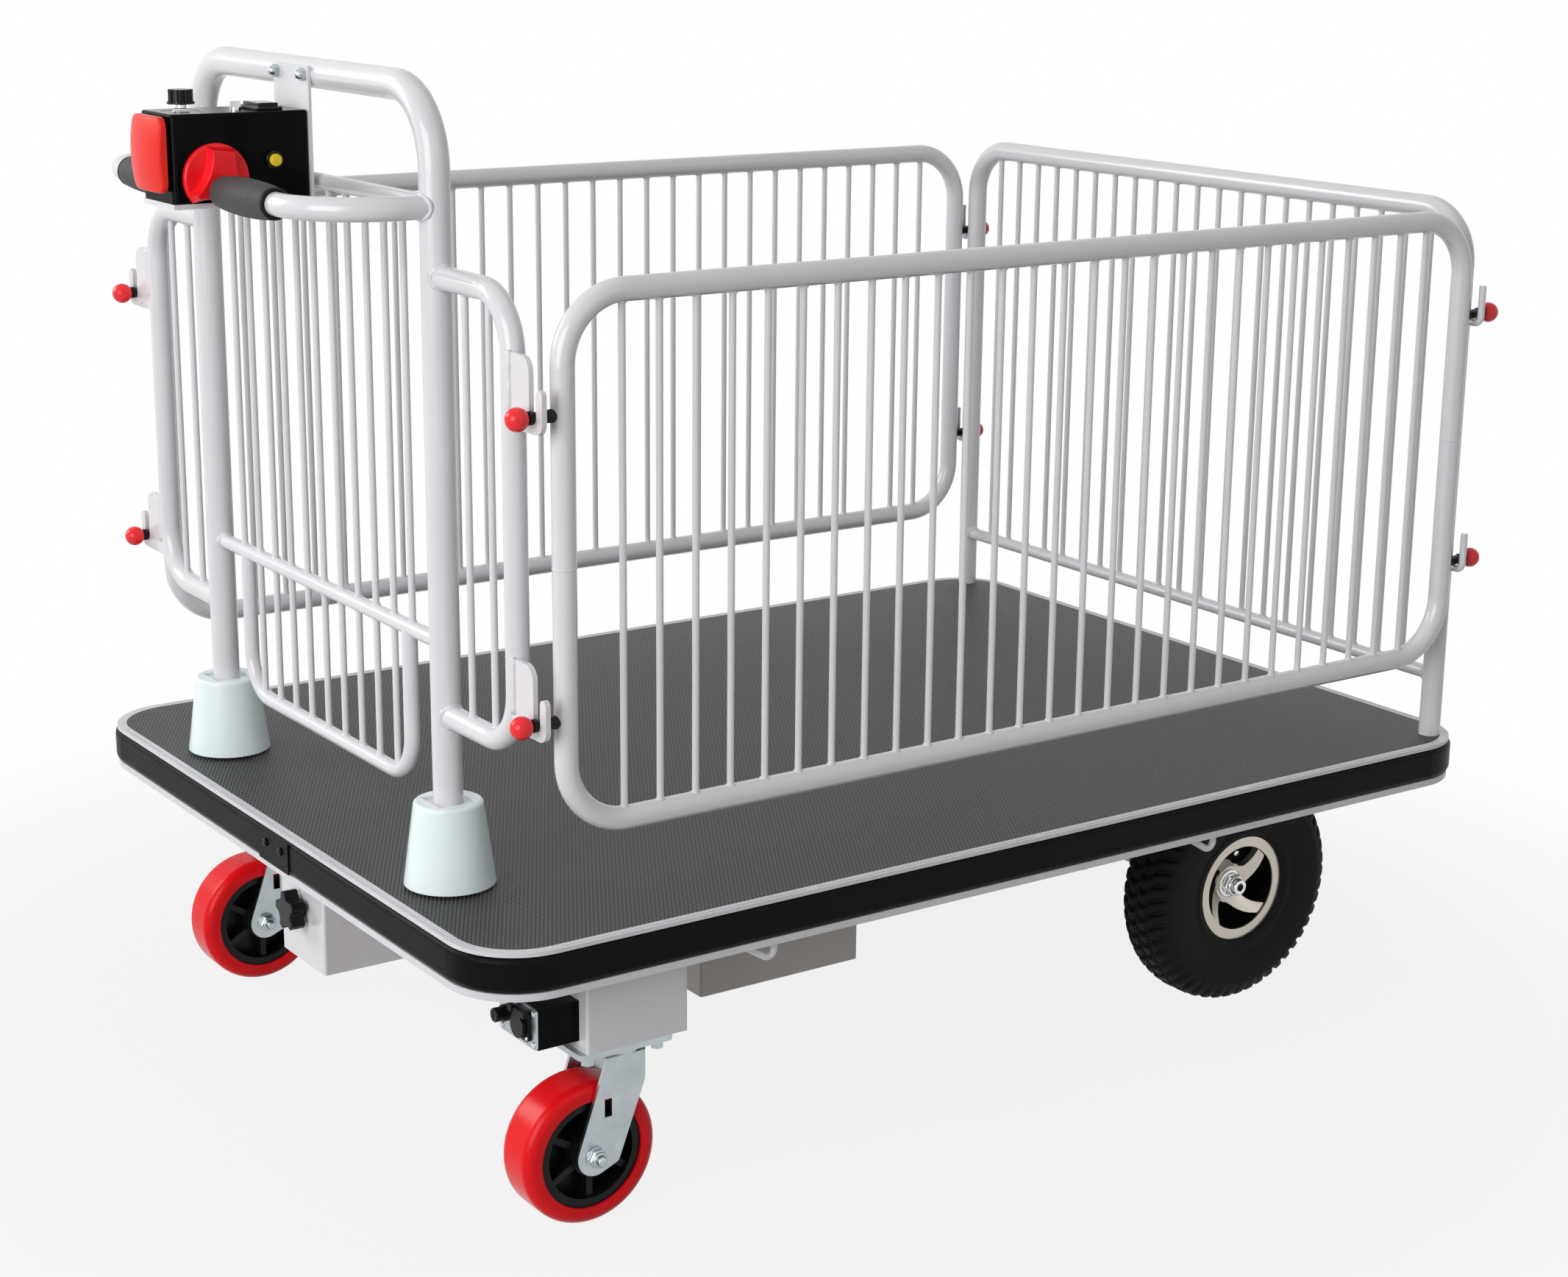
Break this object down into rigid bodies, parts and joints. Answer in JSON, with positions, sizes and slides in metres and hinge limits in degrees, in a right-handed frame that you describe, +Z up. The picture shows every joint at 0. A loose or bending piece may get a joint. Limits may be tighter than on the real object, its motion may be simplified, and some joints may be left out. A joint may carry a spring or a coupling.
{
  "type": "electric platform trolley",
  "caption": "Powered platform trolley with a push arch and control head, lift-off barred side panels and gate, swivelling casters at the front and a driven axle at the rear.",
  "frame": {"origin": "on the floor, under the middle of the whole outline", "axes": "+X towards the gate and the driven axle, +Y towards the left side, +Z up"},
  "size_m": [1.4305, 0.963, 1.122],
  "materials": {
    "frame_paint": "gloss powder coat, pale grey",
    "edging_paint": "satin pale grey",
    "boot_plastic": "gloss white with a mint tint",
    "mat_rubber": "fine studded, dark grey",
    "bumper_rubber": "satin black",
    "grip_foam": "matte black foam",
    "red_plastic": "gloss red",
    "caster_red": "gloss red polyurethane",
    "black_plastic": "fine moulded black",
    "gauge_plastic": "gloss black with a dark window",
    "yellow_plastic": "gloss yellow",
    "zinc_steel": "bright zinc plate",
    "pin_black": "satin black",
    "box_black": "satin black",
    "tray_paint": "satin grey",
    "battery_case": "matte black",
    "controller_aluminium": "cast",
    "axle_iron": "painted black",
    "rim_aluminium": "machined and polished",
    "tyre_rubber": "black, block tread"
  },
  "bodies": {
    "chassis": {"arch_boots": "boot_plastic", "batteries": "battery_case", "battery_gauge": "gauge_plastic", "battery_tray": "tray_paint", "bumper_joint": "bumper_rubber", "bumper_strip": "bumper_rubber", "caster_pedestals": "frame_paint", "caster_plates": "zinc_steel", "charge_socket": "black_plastic", "charger_box": "box_black", "charger_plate": "zinc_steel", "control_box": "black_plastic", "control_bracket": "frame_paint", "control_bushes": "zinc_steel", "controller_box": "frame_paint", "deck_edging": "edging_paint", "deck_frame": "frame_paint", "deck_mat": "mat_rubber", "deck_plate": "frame_paint", "drive_axle": "axle_iron", "ear_frames": "frame_paint", "ear_hooks": "frame_paint", "front_grille": "frame_paint", "hand_grips": "grip_foam", "handle_arms": "frame_paint", "hex_bolts": "zinc_steel", "motor_controller": "controller_aluminium", "post_sockets": "frame_paint", "push_arch": "frame_paint", "strap_hooks": "frame_paint"},
    "rear_gate": {"rear_gate": "frame_paint", "gate_hooks": "frame_paint"},
    "throttle_dial": {"throttle_dial": "red_plastic"},
    "horn_button": {"horn_button": "yellow_plastic"},
    "emergency_pad": {"emergency_pad": "red_plastic"},
    "speed_knob": {"speed_knob": "black_plastic"},
    "power_switch": {"power_switch": "zinc_steel"},
    "star_knob": {"star_knob": "black_plastic"},
    "charge_cap": {"charge_cap": "black_plastic"},
    "fuse_cap": {"fuse_cap": "black_plastic"},
    "side_panel_right": {"side_panel_right": "frame_paint", "panel_pins_right": "pin_black", "panel_knobs_right": "red_plastic"},
    "caster_swivel_right": {"caster_fork_right": "zinc_steel", "caster_axle_right": "zinc_steel"},
    "caster_wheel_right": {"caster_hub_right": "black_plastic", "caster_tyre_right": "caster_red"},
    "drive_wheel_right": {"drive_rim_right": "rim_aluminium", "drive_tyre_right": "tyre_rubber", "half_shaft_right": "zinc_steel"},
    "side_panel_left": {"side_panel_left": "frame_paint", "panel_pins_left": "pin_black", "panel_knobs_left": "red_plastic"},
    "caster_swivel_left": {"caster_fork_left": "zinc_steel", "caster_axle_left": "zinc_steel"},
    "caster_wheel_left": {"caster_hub_left": "black_plastic", "caster_tyre_left": "caster_red"},
    "drive_wheel_left": {"drive_rim_left": "rim_aluminium", "drive_tyre_left": "tyre_rubber", "half_shaft_left": "zinc_steel"}
  },
  "joints": [
    {"name": "rear_gate_lift", "type": "slide", "parent": "chassis", "child": "rear_gate", "axis": [0, 0, 1], "range_m": [0, 0.06]},
    {"name": "side_panel_right_lift", "type": "slide", "parent": "rear_gate", "child": "side_panel_right", "axis": [0, 0, 1], "range_m": [0, 0.06]},
    {"name": "side_panel_left_lift", "type": "slide", "parent": "rear_gate", "child": "side_panel_left", "axis": [0, 0, 1], "range_m": [0, 0.06]},
    {"name": "caster_right_swivel", "type": "hinge", "parent": "chassis", "child": "caster_swivel_right", "pos_m": [-0.42275, -0.387, 0.15], "axis": [0, 0, 1], "continuous": true},
    {"name": "caster_right_roll", "type": "hinge", "parent": "caster_swivel_right", "child": "caster_wheel_right", "pos_m": [-0.46225, -0.387, 0.075], "axis": [0, 1, 0], "continuous": true},
    {"name": "drive_right_roll", "type": "hinge", "parent": "chassis", "child": "drive_wheel_right", "pos_m": [0.48365, -0.308, 0.1415], "axis": [0, 1, 0], "continuous": true},
    {"name": "caster_left_swivel", "type": "hinge", "parent": "chassis", "child": "caster_swivel_left", "pos_m": [-0.42275, 0.387, 0.15], "axis": [0, 0, 1], "continuous": true},
    {"name": "caster_left_roll", "type": "hinge", "parent": "caster_swivel_left", "child": "caster_wheel_left", "pos_m": [-0.46225, 0.387, 0.075], "axis": [0, 1, 0], "continuous": true},
    {"name": "drive_left_roll", "type": "hinge", "parent": "chassis", "child": "drive_wheel_left", "pos_m": [0.48365, 0.308, 0.1415], "axis": [0, 1, 0], "continuous": true},
    {"name": "throttle_turn", "type": "hinge", "parent": "chassis", "child": "throttle_dial", "pos_m": [-0.65575, -0.044, 1.011], "axis": [0, 1, 0], "range_deg": [-30, 30], "stiffness_Nm_per_rad": 0.4},
    {"name": "horn_press", "type": "slide", "parent": "chassis", "child": "horn_button", "axis": [0, 1, 0], "range_m": [0, 0.003], "stiffness_N_per_m": 400},
    {"name": "emergency_press", "type": "slide", "parent": "chassis", "child": "emergency_pad", "axis": [1, 0, 0], "range_m": [0, 0.004], "stiffness_N_per_m": 2000},
    {"name": "speed_knob_turn", "type": "hinge", "parent": "chassis", "child": "speed_knob", "pos_m": [-0.67375, -0.005, 1.085], "axis": [0, 0, 1], "range_deg": [-140, 140]},
    {"name": "power_switch_turn", "type": "hinge", "parent": "chassis", "child": "power_switch", "pos_m": [-0.62175, -0.015, 1.076], "axis": [0, 0, 1], "range_deg": [0, 90]},
    {"name": "star_knob_turn", "type": "hinge", "parent": "chassis", "child": "star_knob", "pos_m": [-0.58775, 0, 0.228], "axis": [1, 0, 0], "continuous": true},
    {"name": "charge_cap_open", "type": "hinge", "parent": "chassis", "child": "charge_cap", "pos_m": [-0.53415, -0.396, 0.2385], "axis": [0, 1, 0], "range_deg": [0, 150]},
    {"name": "fuse_cap_twist", "type": "hinge", "parent": "chassis", "child": "fuse_cap", "pos_m": [-0.53875, -0.365, 0.225], "axis": [1, 0, 0], "range_deg": [0, 90]}
  ]
}
